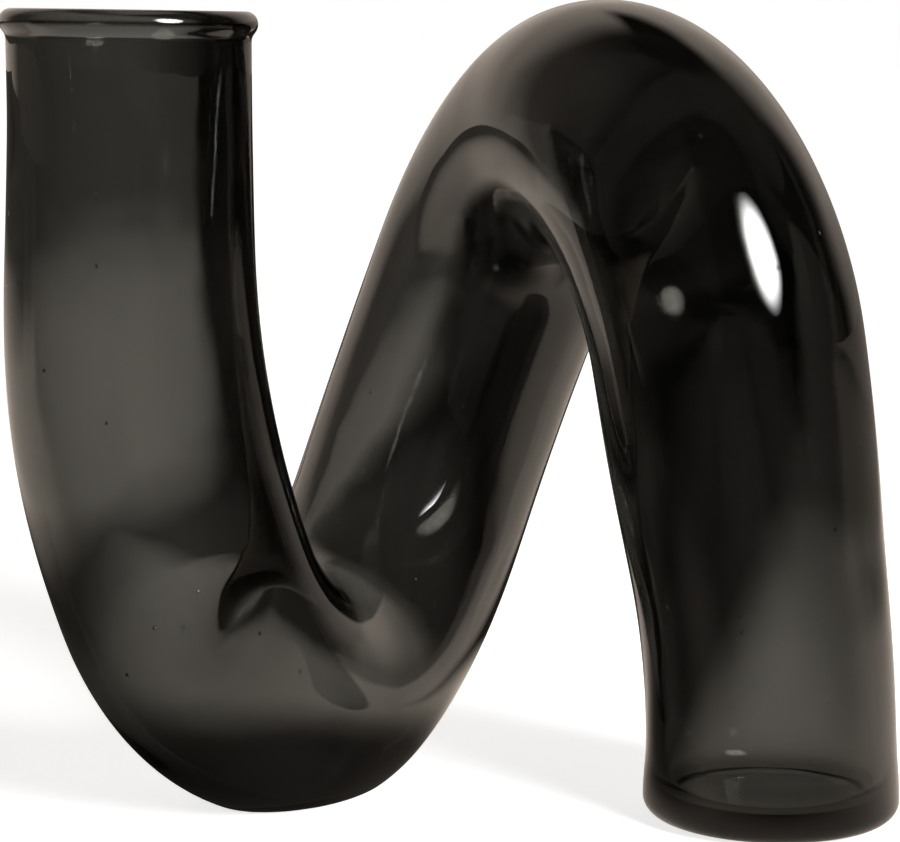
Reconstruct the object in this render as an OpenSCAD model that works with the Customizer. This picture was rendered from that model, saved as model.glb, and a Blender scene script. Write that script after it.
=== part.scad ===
// Coiled vase bent from one smoked glass tube. A round foot carries a leg that climbs into an upper bend.
// The tube then drops behind that leg into a lower bend and climbs again to an open mouth.
// It is widest through the coil, and draws in a little towards the foot and the mouth.
// Millimetres, +Z up. The origin is the centre of the foot where it meets the table.
// The coil is a chain of true bends. A bend has a centre line length, and the way the tube points at
// its far end: a heading in degrees from +X towards +Y, and a climb in degrees above the level.
// The front leg and the mouth taper are straight, and go on the way the bend before them ends.

/* [Glass tube] */
// outside diameter through the coil
tube_od = 57; // [55:0.5:59]
// outside diameter at the foot
foot_od = 55; // [53:0.5:57]
// outside diameter at the mouth
mouth_od = 51.5; // [49:0.5:55]
// thickness of the glass wall
wall = 4; // [3:0.25:5]

/* [Foot] */
// height of the straight foot
foot_h = 14; // [12:0.5:16]
// how far the foot swells out past the tube, a side
foot_swell = 0.8; // [0.2:0.1:1.5]
// rounding between the foot's side and its base
foot_round = 4; // [3:0.5:6]
// thickness of the closed base
base_t = 5; // [4:0.5:6]
// rounding inside, between the base and the bore
base_round = 5; // [3:0.5:6]

/* [Foot sweep] */
// centre line length
foot_sweep_len = 35; // [33:1:37]
// heading at the far end
foot_sweep_heading = -139; // [-144:1:-134]
// climb at the far end
foot_sweep_climb = 78; // [76:1:80]

/* [Front leg] */
// length
front_leg_len = 56; // [54:1:58]

/* [Upper bend, front half] */
// centre line length
upper_front_len = 81; // [79:1:83]
// heading at the far end
upper_front_heading = 110; // [107:1:113]
// climb at the far end
upper_front_climb = -11; // [-13:1:-9]

/* [Upper bend, back half] */
// centre line length
upper_back_len = 56; // [54:1:58]
// heading at the far end
upper_back_heading = 146; // [143:1:149]
// climb at the far end
upper_back_climb = -66; // [-68:1:-64]

/* [Back leg] */
// centre line length
back_leg_len = 63; // [61:1:65]
// heading at the far end
back_leg_heading = -133; // [-136:1:-130]
// climb at the far end
back_leg_climb = -64; // [-66:1:-62]

/* [Lower bend, back half] */
// centre line length
lower_back_len = 53; // [51:1:55]
// heading at the far end
lower_back_heading = -113; // [-116:1:-110]
// climb at the far end
lower_back_climb = -14; // [-16:1:-12]

/* [Lower bend, front half] */
// centre line length
lower_front_len = 61; // [59:1:63]
// heading at the far end
lower_front_heading = -162; // [-165:1:-159]
// climb at the far end
lower_front_climb = 70; // [68:1:72]

/* [Mouth] */
// centre line length of the leg that brings the tube upright
mouth_leg_len = 69; // [65:1:73]
// length of the taper above it
mouth_taper_len = 34; // [30:1:38]
// length of the straight tube under the rim
neck_len = 15; // [11:1:19]
// height of the rim, from the neck to the top of the bead
rim_h = 8.5; // [8:0.5:12]
// how far the bead stands out past the tube, a side
bead_out = 1.5; // [1:0.25:2.5]
// hollow under the bead
bead_hollow = 2; // [1:0.25:2.5]

/* [Hidden] */
$fn = 96;
tube_r = tube_od / 2;
low_r = foot_od / 2;
mouth_r = mouth_od / 2;
foot_r = low_r + foot_swell;
upright = [0, 0, 1];
// The bead is a full round between the bore and the bead's outside.
bead_r = (wall + bead_out) / 2;
// Room that a cutter runs past the face it leaves.
past = 1;
// A block under the table, wide enough for the whole coil.
ground = 600;

function pointing(heading, climb) =
    [cos(heading) * cos(climb), sin(heading) * cos(climb), sin(climb)];

// One row a length of tube, from the foot to the mouth: how long it is, and the way it points at its far end.
route = [
    [foot_sweep_len, pointing(foot_sweep_heading, foot_sweep_climb)],
    [front_leg_len, pointing(foot_sweep_heading, foot_sweep_climb)],
    [upper_front_len, pointing(upper_front_heading, upper_front_climb)],
    [upper_back_len, pointing(upper_back_heading, upper_back_climb)],
    [back_leg_len, pointing(back_leg_heading, back_leg_climb)],
    [lower_back_len, pointing(lower_back_heading, lower_back_climb)],
    [lower_front_len, pointing(lower_front_heading, lower_front_climb)],
    [mouth_leg_len, upright],
    [mouth_taper_len, upright]
];
// The two rows that run straight.
front_leg_row = 1;
mouth_taper_row = 8;

// The way the tube points where row i begins and ends.
function way_in(i) = i == 0 ? upright : route[i - 1][1];
function way_out(i) = route[i][1];

function is_straight(i) = i == front_leg_row || i == mouth_taper_row;

// The turn of bend i in degrees, and the radius that gives it its length.
function turn(i) = atan2(norm(cross(way_in(i), way_out(i))), way_in(i) * way_out(i));
function bend_r(i) = route[i][0] / (turn(i) * PI / 180);

// The unit vector from the start of bend i to its centre.
function inward(i) =
    let (side = way_out(i) - way_in(i) * (way_in(i) * way_out(i)))
    side / norm(side);

// How far row i carries the tube from its start to its end.
function carries(i) =
    is_straight(i)
    ? way_in(i) * route[i][0]
    : way_in(i) * bend_r(i) * sin(turn(i)) + inward(i) * bend_r(i) * (1 - cos(turn(i)));

// Where row i begins: each goes on from the one before, and the first from the top of the foot.
function begins(i) = i == 0 ? [0, 0, foot_h] : begins(i - 1) + carries(i - 1);

mouth_at = begins(len(route));

// Puts its children in bend i's plane: the centre of the bend at the origin, its start on +X, its turn to +Y.
module in_bend(i) {
    out = -inward(i);
    on = way_in(i);
    axis = cross(out, on);
    centre = begins(i) - out * bend_r(i);
    multmatrix([
        [out.x, on.x, axis.x, centre.x],
        [out.y, on.y, axis.y, centre.y],
        [out.z, on.z, axis.z, centre.z],
        [0, 0, 0, 1]
    ])
        children();
}

// A hollow length of bent tube.
module bent_tube(i, r) {
    in_bend(i)
        rotate_extrude(angle = turn(i))
            translate([bend_r(i), 0])
                difference() {
                    circle(r = r);
                    circle(r = r - wall);
                }
}

// A straight length of tube that widens or narrows from one end to the other.
module tapered_tube(i, start_r, end_r) {
    way = way_in(i);
    length = route[i][0];
    flare = (end_r - start_r) / length * past;
    translate(begins(i))
        rotate([0, acos(way.z), atan2(way.y, way.x)])
            difference() {
                cylinder(r1 = start_r, r2 = end_r, h = length);
                translate([0, 0, -past])
                    cylinder(r1 = start_r - wall - flare, r2 = end_r - wall + flare, h = length + 2 * past);
            }
}

// A solid bend that runs a little past both its ends when it is used to cut.
module bent_rod(i, r, spare = 0) {
    in_bend(i)
        rotate([0, 0, -spare])
            rotate_extrude(angle = turn(i) + 2 * spare)
                translate([bend_r(i), 0])
                    circle(r = r);
}

module below(z) {
    translate([-ground / 2, -ground / 2, z - ground])
        cube([ground, ground, ground]);
}

// A bend pressed flat where it rests on the table. The wall keeps its thickness over the flat.
module resting_tube(i) {
    difference() {
        bent_rod(i, tube_r);
        below(0);
        difference() {
            bent_rod(i, tube_r - wall, past);
            below(wall);
        }
    }
}

// Half of the foot's outline, with its swell and its rounded edge.
module foot_outline() {
    translate([foot_r - foot_round, foot_round])
        circle(r = foot_round);
    square([foot_r - foot_round, foot_h]);
    polygon([[0, foot_round], [foot_r, foot_round], [low_r, foot_h], [0, foot_h]]);
}

// Half of the hollow in the foot.
module foot_hollow() {
    bore_r = low_r - wall;
    floor_r = bore_r - base_round;
    translate([floor_r, base_t + base_round])
        circle(r = base_round);
    translate([0, base_t])
        square([floor_r, foot_h - base_t + past]);
    translate([0, base_t + base_round])
        square([bore_r, foot_h - base_t - base_round + past]);
}

// The rim's section, from its foot on the neck to the top of the bead.
module rim_section() {
    bore_r = mouth_r - wall;
    bead_at = [bore_r + bead_r, rim_h - bead_r];
    hollow_x = mouth_r + bead_hollow;
    reach = bead_r + bead_hollow;
    drop = sqrt(reach * reach - pow(hollow_x - bead_at.x, 2));
    hollow_at = [hollow_x, bead_at.y - drop];
    translate(bead_at)
        circle(r = bead_r);
    translate([bore_r, 0])
        square([wall, rim_h - bead_r]);
    difference() {
        polygon([[bead_at.x, hollow_at.y], hollow_at, bead_at]);
        translate(hollow_at)
            circle(r = bead_hollow);
    }
}

module closed_foot() {
    color([0.28, 0.26, 0.24, 0.6])
        rotate_extrude()
            difference() {
                foot_outline();
                foot_hollow();
            }
}

module foot_sweep() {
    color([0.30, 0.28, 0.26, 0.6])
        bent_tube(0, low_r);
}

module front_leg() {
    color([0.26, 0.24, 0.22, 0.6])
        tapered_tube(front_leg_row, low_r, tube_r);
}

module upper_bend_front() {
    color([0.22, 0.20, 0.19, 0.6])
        bent_tube(2, tube_r);
}

module upper_bend_back() {
    color([0.26, 0.24, 0.22, 0.6])
        bent_tube(3, tube_r);
}

module back_leg() {
    color([0.30, 0.28, 0.26, 0.6])
        bent_tube(4, tube_r);
}

module lower_bend_back() {
    color([0.28, 0.26, 0.24, 0.6])
        resting_tube(5);
}

module lower_bend_front() {
    color([0.32, 0.30, 0.28, 0.6])
        resting_tube(6);
}

module mouth_leg() {
    color([0.28, 0.26, 0.24, 0.6])
        bent_tube(7, tube_r);
}

module mouth_taper() {
    color([0.32, 0.30, 0.28, 0.6])
        tapered_tube(mouth_taper_row, tube_r, mouth_r);
}

module neck() {
    color([0.28, 0.26, 0.24, 0.6])
        translate(mouth_at)
            difference() {
                cylinder(r = mouth_r, h = neck_len);
                translate([0, 0, -past])
                    cylinder(r = mouth_r - wall, h = neck_len + 2 * past);
            }
}

module rolled_rim() {
    color([0.34, 0.32, 0.30, 0.6])
        translate(mouth_at + [0, 0, neck_len])
            rotate_extrude()
                rim_section();
}

closed_foot();
foot_sweep();
front_leg();
upper_bend_front();
upper_bend_back();
back_leg();
lower_bend_back();
lower_bend_front();
mouth_leg();
mouth_taper();
neck();
rolled_rim();
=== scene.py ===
import math

import bpy
from mathutils import Matrix, Vector


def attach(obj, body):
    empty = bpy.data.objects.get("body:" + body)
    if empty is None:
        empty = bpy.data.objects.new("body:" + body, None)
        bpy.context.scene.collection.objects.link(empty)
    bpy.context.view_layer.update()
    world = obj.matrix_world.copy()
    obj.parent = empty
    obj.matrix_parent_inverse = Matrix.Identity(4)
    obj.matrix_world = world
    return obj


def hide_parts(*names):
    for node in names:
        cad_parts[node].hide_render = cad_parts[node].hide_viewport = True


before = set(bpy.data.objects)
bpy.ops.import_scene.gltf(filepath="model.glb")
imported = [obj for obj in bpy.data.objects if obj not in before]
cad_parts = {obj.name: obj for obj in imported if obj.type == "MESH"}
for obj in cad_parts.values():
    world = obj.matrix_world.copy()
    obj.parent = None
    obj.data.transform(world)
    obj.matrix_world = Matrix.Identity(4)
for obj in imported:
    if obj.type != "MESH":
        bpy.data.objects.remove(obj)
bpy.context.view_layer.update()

MM = 0.001

# The tube, in millimetres.
WALL = 4.0
FOOT_H = 14.0
FOOT_TUBE_R = 27.5
FOOT_SWELL = 0.8
FOOT_R = FOOT_TUBE_R + FOOT_SWELL
FOOT_ROUND = 4.0
# A ring on the foot's slope, as radius and height.
FOOT_SLOPE = (FOOT_R - 0.3, 10)
BASE_T = 5.0
BASE_ROUND = 5.0
MOUTH_R = 25.75
NECK_LEN = 15.0
RIM_H = 8.5
BEAD_OUT = 1.5
BEAD_R = (WALL + BEAD_OUT) / 2
BEAD_HOLLOW = 2.0

# Rings on the flat of the base and of the hollow's floor, as shares of its radius.
INNER_RING = 0.5
OUTER_RING = 0.8
# Rings up the neck, and down the bore from the bead, as shares of the height.
NECK_RING = 0.5
BORE_RINGS = (0.6, 0.25)

# From the foot to the mouth. A bend has its length, then its heading and its climb at the far end.
# A straight length has its length alone.
ROUTE = (
    (35, -139, 78),
    (56,),
    (81, 110, -11),
    (56, 146, -66),
    (63, -133, -64),
    (53, -113, -14),
    (61, -162, 70),
    (69, 0, 89.2),
    (34,),
)

# The tube's outside radius at some places along it, measured from the table at the foot.
WIDTHS = (
    (14, 27.5),
    (48, 27.4),
    (90, 29.1),
    (180, 28.8),
    (316, 28.4),
    (407, 28.5),
    (452, 28.3),
    (497, 26.4),
    (522, 25.75),
)

# Points around the tube before it is smoothed.
SIDES = 32
# Between two rings: the turn in a tight bend, the length in a wide bend and the length on a straight.
RING_TURN = math.radians(7)
BEND_STEP = 14.0
STRAIGHT_STEP = 9.0
# Smoothing draws a ring in a little, so each is made this much larger.
RING_GROW = 3 / (2 + math.cos(2 * math.pi / SIDES))
SMOOTHINGS = 2
# A sharper fold than this stays an edge.
EDGE_ANGLE = math.radians(22)

# The part of the lower bend that is pressed flat: beyond the first and under the second, in metres.
FLAT_X = -0.045
FLAT_Z = 0.012
# Its faces look up or down by at least this much.
FLAT_NORMAL = 0.2

# The glass: the colour and the density of its smoke, and its refraction.
SMOKE_COLOUR = (0.342, 0.333, 0.302, 1)
SMOKE_DENSITY = 440
GLASS_IOR = 1.5

# The floor, in metres. It lies just under the foot, so that the two don't share a face.
FLOOR_SIZE = 20
FLOOR_Z = -0.0005

# A mix node has several sockets of each name. These are the ones for colours.
MIX_FIRST_COLOUR = 6
MIX_SECOND_COLOUR = 7
MIX_COLOUR_OUT = 2

# The camera, in millimetres, radians and pixels.
EYE = Vector((-68.17, -617, 173.93))
YAW = -0.0045
PITCH = -0.1393
FOCAL_PIXELS = 2864.2
PICTURE_PIXELS = 900
SENSOR = 36


def pointing(heading, climb):
    """The way a tube points, from its heading and its climb in degrees."""
    h = math.radians(heading)
    c = math.radians(climb)
    return Vector((math.cos(h) * math.cos(c), math.sin(h) * math.cos(c), math.sin(c)))


def width_at(s):
    """The tube's outside radius at a distance along it, on a smooth curve through the widths."""
    s = min(max(s, WIDTHS[0][0]), WIDTHS[-1][0])
    k = 0
    while k < len(WIDTHS) - 2 and s > WIDTHS[k + 1][0]:
        k += 1
    slopes = []
    for j in (k, k + 1):
        low = WIDTHS[max(j - 1, 0)]
        high = WIDTHS[min(j + 1, len(WIDTHS) - 1)]
        slopes.append((high[1] - low[1]) / (high[0] - low[0]))
    (s0, r0), (s1, r1) = WIDTHS[k], WIDTHS[k + 1]
    span = s1 - s0
    t = (s - s0) / span
    return (
        r0 * (1 + 2 * t) * (1 - t) ** 2
        + slopes[0] * span * t * (1 - t) ** 2
        + r1 * t * t * (3 - 2 * t)
        + slopes[1] * span * t * t * (t - 1)
    )


def plan_rings():
    """The steps that carry a ring from the foot to the mouth, and the point where the last one leaves it.

    A step has its start, its end and the distance along the tube at both.
    A step on a bend also has the bend's centre and axis, and its own turn.
    """
    at = Vector((0, 0, FOOT_H))
    way = Vector((0, 0, 1))
    s = FOOT_H
    steps = []
    for row in ROUTE:
        length = row[0]
        if len(row) == 1:
            count = round(length / STRAIGHT_STEP)
            for _ in range(count):
                end = at + way * (length / count)
                steps.append((at, end, s, s + length / count, None))
                at = end
                s += length / count
            continue
        out = pointing(row[1], row[2])
        axis = way.cross(out).normalized()
        turn = way.angle(out)
        centre = at + axis.cross(way) * (length / turn)
        count = max(round(turn / RING_TURN), round(length / BEND_STEP))
        for _ in range(count):
            end = centre + Matrix.Rotation(turn / count, 3, axis) @ (at - centre)
            steps.append((at, end, s, s + length / count, (centre, axis, turn / count)))
            at = end
            s += length / count
        way = out
    return steps, at


def arc(centre, radius, start, end, count):
    """Points on an arc of a half section, as radius and height. The first point is left out."""
    points = []
    for k in range(1, count + 1):
        a = math.radians(start + (end - start) * k / count)
        points.append((centre[0] + radius * math.cos(a), centre[1] + radius * math.sin(a)))
    return points


def foot_side():
    """The foot's outside, from the middle of its base out to the edge and up to the tube."""
    edge = FOOT_R - FOOT_ROUND
    side = [(edge * OUTER_RING, 0), (edge, 0)]
    side += arc((edge, FOOT_ROUND), FOOT_ROUND, -90, 0, 6)
    side += [FOOT_SLOPE, (FOOT_TUBE_R, FOOT_H)]
    return side


def foot_inside():
    """The foot's hollow, from the bore down and in to the middle of its floor."""
    bore = FOOT_TUBE_R - WALL
    top = BASE_T + BASE_ROUND
    floor = bore - BASE_ROUND
    side = [(bore, top)]
    side += arc((floor, top), BASE_ROUND, 0, -90, 5)
    side += [(floor * OUTER_RING, BASE_T), (floor * INNER_RING, BASE_T)]
    return side


def rim_side():
    """The neck and the rim, from the end of the taper over the bead and down to the bore."""
    bore = MOUTH_R - WALL
    bead = (bore + BEAD_R, NECK_LEN + RIM_H - BEAD_R)
    reach = BEAD_R + BEAD_HOLLOW
    across = MOUTH_R + BEAD_HOLLOW - bead[0]
    drop = math.sqrt(reach * reach - across * across)
    hollow = (MOUTH_R + BEAD_HOLLOW, bead[1] - drop)
    lean = math.degrees(math.atan2(drop, -across))
    side = [(MOUTH_R, hollow[1] * NECK_RING), (MOUTH_R, hollow[1])]
    side += arc(hollow, BEAD_HOLLOW, 180, lean, 3)
    side += arc(bead, BEAD_R, lean - 180, 180, 10)
    side += [(bore, bead[1] * share) for share in BORE_RINGS]
    side.append((bore, 0))
    return side


def draw_out(start, side, at):
    """Draws the selected ring along a half section whose foot stands at a point."""
    r, z = start
    for r_next, z_next in side:
        bpy.ops.mesh.extrude_region_move(TRANSFORM_OT_translate={"value": (0, 0, (z_next - z) * MM)})
        k = r_next / r
        middle = (at.x * MM, at.y * MM, (at.z + z_next) * MM)
        bpy.ops.transform.resize(value=(k, k, 1), center_override=middle)
        r, z = r_next, z_next


def carry_ring(steps, inset, back):
    """Carries the selected ring along the tube, widening and narrowing it on the way."""
    for start, end, s0, s1, bend in (reversed(steps) if back else steps):
        if back:
            start, end, s0, s1 = end, start, s1, s0
        if bend:
            centre, axis, turn = bend
            bpy.ops.mesh.spin(steps=1, angle=turn if back else -turn, center=centre * MM, axis=axis)
        else:
            bpy.ops.mesh.extrude_region_move(TRANSFORM_OT_translate={"value": (end - start) * MM})
        k = (width_at(s1) - inset) / (width_at(s0) - inset)
        bpy.ops.transform.resize(value=(k, k, k), center_override=end * MM)


def press_flat(ob, height, facing):
    """Cuts the lower bend level at a height, on its outside or its inside, and closes the cut."""
    bpy.ops.mesh.select_mode(type="FACE")
    bpy.ops.mesh.select_all(action="DESELECT")
    bpy.ops.object.mode_set(mode="OBJECT")
    for face in ob.data.polygons:
        low = face.center.x < FLAT_X and face.center.z < FLAT_Z
        face.select = low and face.normal.z * facing > FLAT_NORMAL
    bpy.ops.object.mode_set(mode="EDIT")
    bpy.ops.mesh.bisect(plane_co=(0, 0, height * MM), plane_no=(0, 0, 1), use_fill=True, clear_inner=True)


def make_vase():
    """One ring is drawn up the outside of the tube, over the rim and back down the bore to the foot."""
    steps, mouth = plan_rings()
    foot = Vector((0, 0, 0))
    start = (FOOT_R - FOOT_ROUND) * INNER_RING
    bpy.ops.object.select_all(action="DESELECT")
    bpy.ops.mesh.primitive_circle_add(vertices=SIDES, radius=start * RING_GROW * MM, location=(0, 0, 0))
    ob = bpy.context.object
    ob.name = "glass_vase"
    bpy.ops.object.mode_set(mode="EDIT")
    bpy.ops.mesh.select_mode(type="EDGE")
    bpy.ops.mesh.select_all(action="SELECT")
    draw_out((start, 0), foot_side(), foot)
    carry_ring(steps, 0, False)
    draw_out((MOUTH_R, 0), rim_side(), mouth)
    carry_ring(steps, WALL, True)
    draw_out((FOOT_TUBE_R - WALL, FOOT_H), foot_inside(), foot)
    bpy.ops.mesh.select_all(action="SELECT")
    bpy.ops.mesh.fill_holes(sides=0)
    bpy.ops.mesh.select_all(action="SELECT")
    bpy.ops.mesh.normals_make_consistent(inside=False)
    bpy.ops.object.mode_set(mode="OBJECT")
    bpy.ops.object.modifier_add(type="SUBSURF")
    ob.modifiers[0].levels = SMOOTHINGS
    bpy.ops.object.modifier_apply(modifier=ob.modifiers[0].name)
    bpy.ops.object.mode_set(mode="EDIT")
    press_flat(ob, 0, -1)
    press_flat(ob, WALL, 1)
    bpy.ops.mesh.select_all(action="SELECT")
    bpy.ops.mesh.normals_make_consistent(inside=False)
    bpy.ops.object.mode_set(mode="OBJECT")
    bpy.ops.object.shade_smooth_by_angle(angle=EDGE_ANGLE)
    return ob


class NodeSheet:
    """The nodes of one material, world or lamp, and the sums that its values are worked out with."""

    def __init__(self, owner):
        owner.use_nodes = True
        self.nodes = owner.node_tree.nodes
        self.links = owner.node_tree.links

    def add(self, kind):
        return self.nodes.new(kind)

    def link(self, out, into):
        self.links.new(out, into)

    def ease(self, value, start, end, low, high):
        """Runs smoothly from low, where the value is at the start, to high, where it is at the end."""
        node = self.add("ShaderNodeMapRange")
        node.interpolation_type = "SMOOTHSTEP"
        node.inputs["From Min"].default_value = start
        node.inputs["From Max"].default_value = end
        node.inputs["To Min"].default_value = low
        node.inputs["To Max"].default_value = high
        self.link(value, node.inputs["Value"])
        return node.outputs["Result"]

    def combine(self, kind, values):
        total = values[0]
        for value in values[1:]:
            node = self.add("ShaderNodeMath")
            node.operation = kind
            self.link(total, node.inputs[0])
            self.link(value, node.inputs[1])
            total = node.outputs["Value"]
        return total

    def product(self, *values):
        return self.combine("MULTIPLY", values)

    def largest(self, *values):
        return self.combine("MAXIMUM", values)

    def blend(self, share, one, two):
        """The first value where the share is 0, the second where it is 1."""
        node = self.add("ShaderNodeMix")
        self.link(share, node.inputs["Factor"])
        self.link(one, node.inputs["A"])
        self.link(two, node.inputs["B"])
        return node.outputs["Result"]

    def along(self, vector, way):
        """How far a place lies along a direction."""
        node = self.add("ShaderNodeVectorMath")
        node.operation = "DOT_PRODUCT"
        node.inputs[1].default_value = way
        self.link(vector, node.inputs[0])
        return node.outputs["Value"]

    def away(self, vector, spot):
        """How far a place lies from a spot."""
        node = self.add("ShaderNodeVectorMath")
        node.operation = "DISTANCE"
        node.inputs[1].default_value = spot
        self.link(vector, node.inputs[0])
        return node.outputs["Value"]

    def tones(self, share, dark, bright):
        """A colour between two, by a share."""
        node = self.add("ShaderNodeValToRGB")
        node.color_ramp.elements[0].color = dark
        node.color_ramp.elements[1].color = bright
        self.link(share, node.inputs["Fac"])
        return node.outputs["Color"]

    def noise(self, place, scale, detail):
        node = self.add("ShaderNodeTexNoise")
        node.inputs["Scale"].default_value = scale
        node.inputs["Detail"].default_value = detail
        self.link(place, node.inputs["Vector"])
        return node.outputs["Fac"]

    def bump(self, height, strength, distance):
        node = self.add("ShaderNodeBump")
        node.inputs["Strength"].default_value = strength
        node.inputs["Distance"].default_value = distance
        self.link(height, node.inputs["Height"])
        return node

    def mix_shaders(self, share, one, two):
        node = self.add("ShaderNodeMixShader")
        self.link(share, node.inputs[0])
        self.link(one, node.inputs[1])
        self.link(two, node.inputs[2])
        return node.outputs["Shader"]


def smoked_glass():
    """Clear glass, dyed through its thickness, with a drawn surface, faint smears and a few small seeds."""
    mat = bpy.data.materials.new("smoked_glass")
    sheet = NodeSheet(mat)
    glass = sheet.nodes["Principled BSDF"]
    glass.inputs["Base Color"].default_value = (1, 1, 1, 1)
    glass.inputs["IOR"].default_value = GLASS_IOR
    glass.inputs["Transmission Weight"].default_value = 1.0
    smoke = sheet.add("ShaderNodeVolumeAbsorption")
    smoke.inputs["Color"].default_value = SMOKE_COLOUR
    smoke.inputs["Density"].default_value = SMOKE_DENSITY
    sheet.link(smoke.outputs["Volume"], sheet.nodes["Material Output"].inputs["Volume"])
    place = sheet.add("ShaderNodeTexCoord").outputs["Object"]
    smears = sheet.ease(sheet.noise(place, 26, 4), 0.55, 0.75, 0, 0.03)
    sheet.link(smears, glass.inputs["Roughness"])
    drawn = sheet.bump(sheet.noise(place, 24, 1.5), 0.3, 0.005)
    cells = sheet.add("ShaderNodeTexVoronoi")
    cells.inputs["Scale"].default_value = 85
    sheet.link(place, cells.inputs["Vector"])
    seeds = sheet.bump(sheet.ease(cells.outputs["Distance"], 0.04, 0.01, 0, 1), 0.8, 0.0004)
    sheet.link(drawn.outputs["Normal"], seeds.inputs["Normal"])
    sheet.link(seeds.outputs["Normal"], glass.inputs["Normal"])
    return mat


def pale_floor():
    """White to the camera, with the shadow of the vase. The glass sees painted pools of light instead, with
    a dark lane between them that is a painted shadow of the vase. A painted pool seen through the glass
    differs from the same pool reflected by it."""
    mat = bpy.data.materials.new("pale_floor")
    sheet = NodeSheet(mat)
    ease = sheet.ease
    sheet.nodes.remove(sheet.nodes["Principled BSDF"])
    place = sheet.add("ShaderNodeTexCoord").outputs["Object"]
    x = sheet.along(place, (1, 0, 0))
    y = sheet.along(place, (0, 1, 0))
    reach = sheet.away(place, (0, 0, 0))
    ray = sheet.add("ShaderNodeLightPath")
    through = ray.outputs["Is Transmission Ray"]

    # White paint that glows a little less by the vase, where the lamp lights it.
    matt = sheet.add("ShaderNodeBsdfDiffuse")
    matt.inputs["Color"].default_value = (0.75, 0.74, 0.72, 1)
    white = sheet.add("ShaderNodeEmission")
    sheet.link(ease(reach, 0.3, 1.2, 0.78, 1), white.inputs["Strength"])
    seen = sheet.add("ShaderNodeAddShader")
    sheet.link(matt.outputs["BSDF"], seen.inputs[0])
    sheet.link(white.outputs["Emission"], seen.inputs[1])

    # A painted pool of light on the left, which runs back past the vase. Through the glass, a faint painted
    # light lies beside it.
    left_through = sheet.product(
        ease(sheet.along(place, (1, -0.3, 0)), -0.36, -0.26, 1, 0.12),
        ease(x, -0.16, -0.07, 1, 0.05),
        ease(reach, 0.9, 2.4, 1, 0.3),
    )
    left_reflected = sheet.product(
        ease(x, -0.24, -0.35, 0.03, 0.8),
        ease(reach, 0.6, 2.6, 1, 0.1),
    )
    painted_faint_light = sheet.product(ease(y, 0.40, 0.70, 0.17, 0.04), ease(x, -0.08, -0.03, 1, 0.05))
    left = sheet.blend(through, left_reflected, sheet.largest(left_through, painted_faint_light))

    # A painted pool of light on the right, brightest by the foot. The gap between the two pools is a
    # painted shadow of the vase.
    right_through = sheet.product(ease(reach, 0.18, 0.5, 0.95, 0.22), ease(x, 0.02, 0.06, 1, 0.72))
    right = sheet.product(
        ease(sheet.along(place, (1, -0.24, 0)), -0.055, -0.012, 0, 1),
        sheet.blend(through, ease(x, 0.14, 0.34, 0.8, 0.26), right_through),
        sheet.largest(ease(reach, 0.8, 2.2, 1, 0.15), ease(y, 0.4, 1, 0, 1)),
    )

    # A painted pool of light close behind the lower bend.
    painted_near_pool = sheet.product(
        ease(sheet.along(place, (1.5, 1, 0)), 0.10, 0.01, 0, 1),
        ease(x, -0.23, -0.14, 0.2, 1),
        sheet.blend(through, ease(x, -0.15, -0.06, 0.05, 0.8), ease(x, -0.06, -0.11, 0.12, 1)),
    )

    # Painted shade: dim in front of the vase, where only reflections show it, and a painted contact shadow
    # under the lower bend.
    painted_front_shade = sheet.largest(ease(y, -0.10, 0.02, 0.08, 1), through)
    painted_bend_shadow = ease(sheet.away(place, (-0.105, 0.02, 0)), 0.035, 0.095, 0.1, 1)
    # Painted light and shade: the glass sees this glow in place of a lit floor, with its painted pools and
    # painted shadows.
    painted_pool_glow = sheet.add("ShaderNodeEmission")
    sheet.link(sheet.tones(through, (1, 0.86, 0.73, 1), (1, 0.97, 0.93, 1)), painted_pool_glow.inputs["Color"])
    sheet.link(sheet.product(sheet.largest(left, right, painted_near_pool), painted_front_shade, painted_bend_shadow), painted_pool_glow.inputs["Strength"])

    by_glass = sheet.largest(ray.outputs["Is Glossy Ray"], through)
    floor = sheet.mix_shaders(by_glass, seen.outputs["Shader"], painted_pool_glow.outputs["Emission"])
    sheet.link(floor, sheet.nodes["Material Output"].inputs["Surface"])
    return mat


def make_floor():
    bpy.ops.object.select_all(action="DESELECT")
    bpy.ops.mesh.primitive_plane_add(size=FLOOR_SIZE, location=(0, 0, FLOOR_Z))
    floor = bpy.context.object
    floor.name = "floor"
    floor.data.materials.append(pale_floor())


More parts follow.
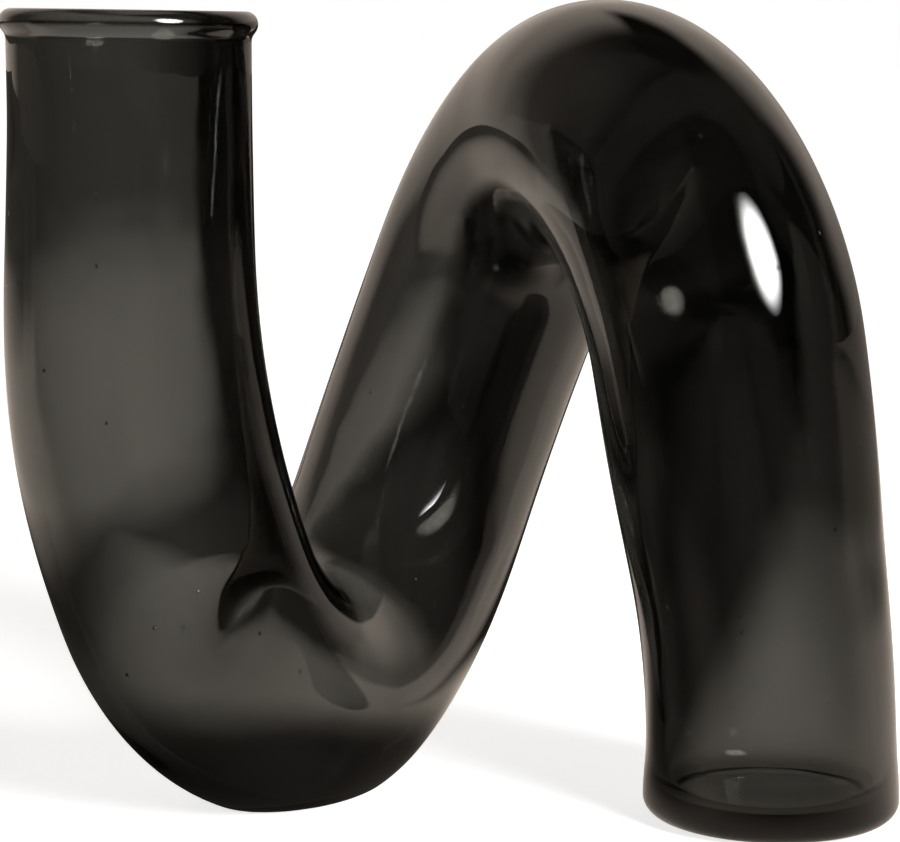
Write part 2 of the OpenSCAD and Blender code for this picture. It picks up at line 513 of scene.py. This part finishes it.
def make_world():
    """White to the camera. The glass shows pale walls behind the vase and a dim room elsewhere."""
    world = bpy.data.worlds.new("studio")
    bpy.context.scene.world = world
    sheet = NodeSheet(world)
    ease = sheet.ease
    room = sheet.nodes["Background"]
    way = sheet.add("ShaderNodeTexCoord").outputs["Generated"]
    x = sheet.along(way, (1, 0, 0))
    y = sheet.along(way, (0, 1, 0))
    z = sheet.along(way, (0, 0, 1))
    ray = sheet.add("ShaderNodeLightPath")

    # Reflected: the wall behind reaches higher on the left, and the wall on the left is dim.
    right_wall = sheet.product(
        ease(sheet.along(way, (-0.45, 0, 1)), 0.68, 0.50, 0, 1),
        ease(z, 0, 0.25, 0.45, 1),
    )
    left_wall = ease(z, 0.90, 0.72, 0, 1)
    behind = sheet.product(
        ease(y, 0.35, 0.70, 0, 1),
        sheet.blend(ease(x, 0.02, -0.08, 0, 1), right_wall, left_wall),
    )
    dim = sheet.product(ease(x, -0.1, -0.6, 0, 0.2), ease(y, -0.4, 0.1, 0, 1))
    reflected = sheet.largest(behind, dim)

    # Seen through the glass: a pale band at the far end of the floor, and a haze above it on the left.
    band = sheet.product(ease(z, 0.25, 0, 0, 1), ease(x, 0.05, -0.15, 0.03, 0.45))
    haze = sheet.product(ease(z, 0.05, 0.14, 0, 0.5), ease(x, 0, -0.06, 0, 1))
    through = sheet.largest(band, haze)

    shadow = (0.012, 0.011, 0.010, 1)
    colours = sheet.add("ShaderNodeMix")
    colours.data_type = "RGBA"
    sheet.link(ray.outputs["Is Transmission Ray"], colours.inputs["Factor"])
    sheet.link(sheet.tones(reflected, shadow, (0.72, 0.62, 0.53, 1)), colours.inputs[MIX_FIRST_COLOUR])
    sheet.link(sheet.tones(through, shadow, (0.72, 0.70, 0.67, 1)), colours.inputs[MIX_SECOND_COLOUR])
    sheet.link(colours.outputs[MIX_COLOUR_OUT], room.inputs["Color"])
    white = sheet.add("ShaderNodeBackground")
    white.inputs["Color"].default_value = (1, 1, 1, 1)
    to_camera = ray.outputs["Is Camera Ray"]
    studio = sheet.mix_shaders(to_camera, room.outputs["Background"], white.outputs["Background"])
    sheet.link(studio, sheet.nodes["World Output"].inputs["Surface"])


def hang_lamp(name, place, target, size, power):
    """A soft oval lamp that fades towards its edge."""
    bpy.ops.object.light_add(type="AREA", location=place)
    lamp = bpy.context.object
    lamp.name = name
    lamp.data.shape = "ELLIPSE"
    lamp.data.size = size[0]
    lamp.data.size_y = size[1]
    lamp.data.energy = power
    lamp.rotation_euler = (Vector(target) - Vector(place)).to_track_quat("-Z", "Y").to_euler()
    sheet = NodeSheet(lamp.data)
    spot = sheet.add("ShaderNodeNewGeometry").outputs["Parametric"]
    off_centre = sheet.away(spot, (0.5, 0.5, 0))
    sheet.link(sheet.ease(off_centre, 0.5, 0.28, 0.05, 1.5), sheet.nodes["Emission"].inputs["Strength"])


def set_camera():
    ahead = Vector((math.sin(YAW) * math.cos(PITCH), math.cos(YAW) * math.cos(PITCH), math.sin(PITCH)))
    right = Vector((math.cos(YAW), -math.sin(YAW), 0))
    up = right.cross(ahead)
    bpy.ops.object.camera_add()
    cam = bpy.context.object
    cam.name = "camera"
    pose = Matrix((right, up, -ahead)).transposed().to_4x4()
    pose.translation = EYE * MM
    cam.matrix_world = pose
    cam.data.sensor_width = SENSOR
    cam.data.lens = FOCAL_PIXELS * SENSOR / PICTURE_PIXELS
    cam.data.clip_start = 0.01
    bpy.context.scene.camera = cam


vase = make_vase()
vase.data.materials.append(smoked_glass())
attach(vase, "root")
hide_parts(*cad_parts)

make_floor()
make_world()
hang_lamp("window", place=(0.59, -0.73, 0.54), target=(0.01, -0.04, 0.105), size=(0.52, 0.80), power=22)
set_camera()
bpy.context.scene.view_settings.view_transform = "Standard"
